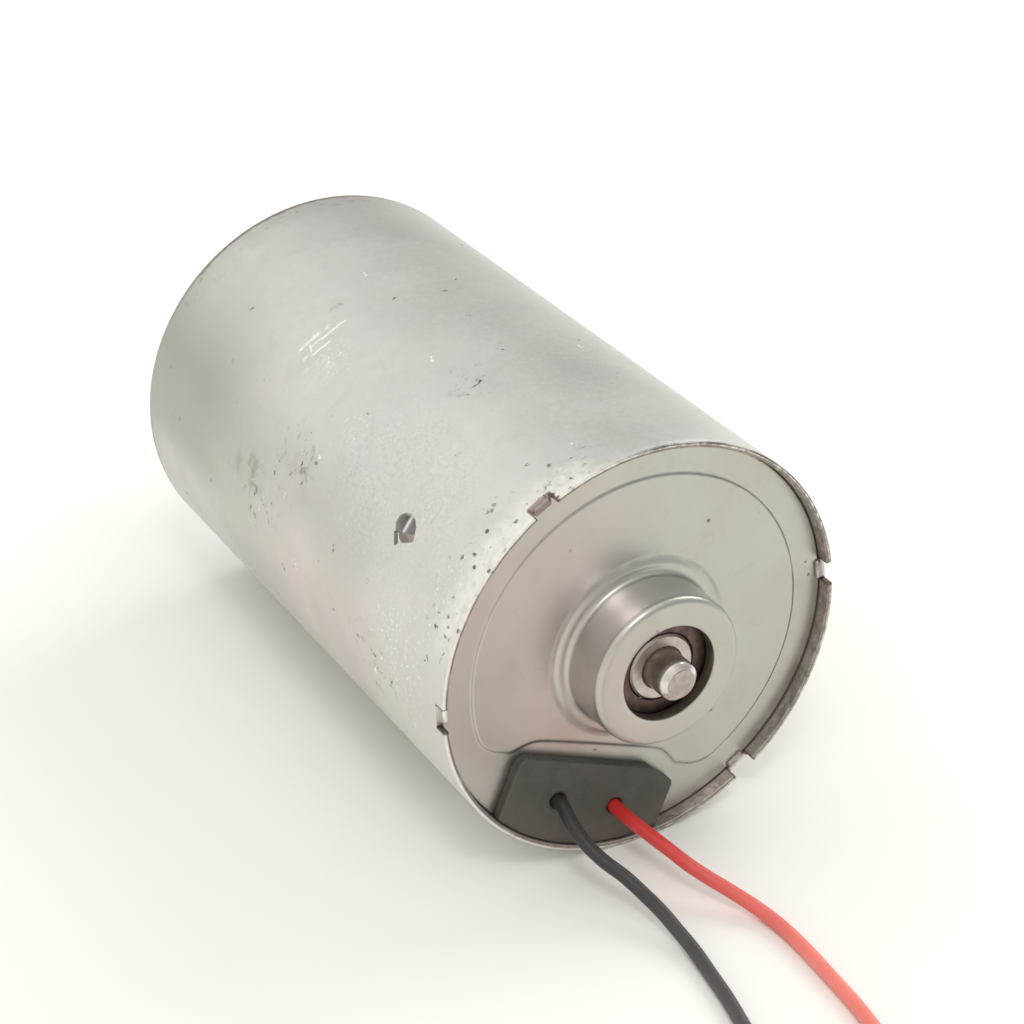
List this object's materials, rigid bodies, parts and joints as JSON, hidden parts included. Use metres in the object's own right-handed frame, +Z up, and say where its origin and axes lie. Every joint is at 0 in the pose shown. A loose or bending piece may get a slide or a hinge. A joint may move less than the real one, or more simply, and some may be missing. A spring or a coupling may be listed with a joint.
{
  "type": "brushed dc motor",
  "caption": "Brushed DC motor in a round drawn steel can with a bearing boss at each end, a plain output shaft, a rear stub shaft and two flying leads through a rubber grommet.",
  "frame": {"origin": "centre of the mounting hole circle, in the mounting face at the drive end, on the shaft axis", "axes": "+Y along the output shaft, away from the motor; +Z up with the motor lying on its side as stored; the lead end faces -Y"},
  "size_m": [0.063, 0.2381, 0.063],
  "materials": {
    "can_steel": "matt zinc plate, worn and scuffed",
    "plate_steel": "satin zinc plate",
    "bearing_steel": "ground",
    "shield_steel": "dark oiled sheet",
    "shaft_steel": "ground, thin oil film",
    "clip_steel": "blackened spring steel",
    "spring_steel": "bright",
    "magnet": "sintered, matt",
    "core_steel": "punched and stacked",
    "insulator": "moulded",
    "copper": "enamelled",
    "moulding": "phenolic",
    "brass": "pressed",
    "carbon": "sintered",
    "ferrite": "matt",
    "ceramic": "dipped coating",
    "cage_brass": "pressed",
    "grommet_rubber": "moulded, matt",
    "black_insulation": "satin",
    "red_insulation": "satin",
    "tinned_copper": "tinned",
    "tie_plastic": "moulded"
  },
  "bodies": {
    "housing": {"can": "can_steel", "rear_end_plate": "plate_steel", "lead_grommet": "grommet_rubber", "upper_magnet": "magnet", "lower_magnet": "magnet", "magnet_clips": "spring_steel", "front_bearing_outer_ring": "bearing_steel", "front_bearing_shields": "shield_steel", "wave_washer": "spring_steel", "rear_bearing_outer_ring": "bearing_steel", "rear_bearing_shields": "shield_steel", "brush_card": "moulding", "left_brush_tube": "brass", "right_brush_tube": "brass", "left_brush_spring": "spring_steel", "right_brush_spring": "spring_steel", "left_brush_cap": "brass", "right_brush_cap": "brass", "left_pigtail": "copper", "right_pigtail": "copper", "choke_cores": "ferrite", "choke_coils": "copper", "choke_wires": "copper", "suppression_capacitor": "ceramic", "lead_terminals": "brass", "black_lead_inner": "black_insulation", "red_lead_inner": "red_insulation", "black_lead": "black_insulation", "red_lead": "red_insulation", "black_lead_coil": "black_insulation", "red_lead_coil": "red_insulation", "black_lead_tip": "tinned_copper", "red_lead_tip": "tinned_copper", "lead_tie": "tie_plastic"},
    "rotor": {"shaft": "shaft_steel", "armature_core": "core_steel", "armature_insulators": "insulator", "armature_windings": "copper", "commutator_hub": "moulding", "commutator_bars": "copper", "rear_spacer": "shaft_steel", "front_spacer": "shaft_steel", "retaining_ring": "clip_steel", "rear_bearing_inner_ring": "bearing_steel", "front_bearing_inner_ring": "bearing_steel"},
    "rear_ball_set": {"rear_bearing_balls": "bearing_steel", "rear_bearing_cage": "cage_brass"},
    "front_ball_set": {"front_bearing_balls": "bearing_steel", "front_bearing_cage": "cage_brass"},
    "left_brush_body": {"left_brush": "carbon"},
    "right_brush_body": {"right_brush": "carbon"}
  },
  "joints": [
    {"name": "rotor_spin", "type": "hinge", "parent": "housing", "child": "rotor", "pos_m": [0, 0, 0], "axis": [0, 1, 0], "continuous": true},
    {"name": "rear_balls_spin", "type": "hinge", "parent": "housing", "child": "rear_ball_set", "pos_m": [0, -0.1012, 0], "axis": [0, 1, 0], "continuous": true},
    {"name": "front_balls_spin", "type": "hinge", "parent": "housing", "child": "front_ball_set", "pos_m": [0, 0.0005, 0], "axis": [0, 1, 0], "continuous": true},
    {"name": "left_brush_slide", "type": "slide", "parent": "housing", "child": "left_brush_body", "axis": [-1, 0, 0], "range_m": [0, 0.003], "stiffness_N_per_m": 200, "springref_m": -0.0075, "deforming": ["left_brush_spring"]},
    {"name": "right_brush_slide", "type": "slide", "parent": "housing", "child": "right_brush_body", "axis": [1, 0, 0], "range_m": [0, 0.003], "stiffness_N_per_m": 200, "springref_m": -0.0075, "deforming": ["right_brush_spring"]}
  ],
  "couplings": [
    {"joint": "rear_balls_spin", "follows": "rotor_spin", "ratio": 0.373},
    {"joint": "front_balls_spin", "follows": "rotor_spin", "ratio": 0.368}
  ]
}
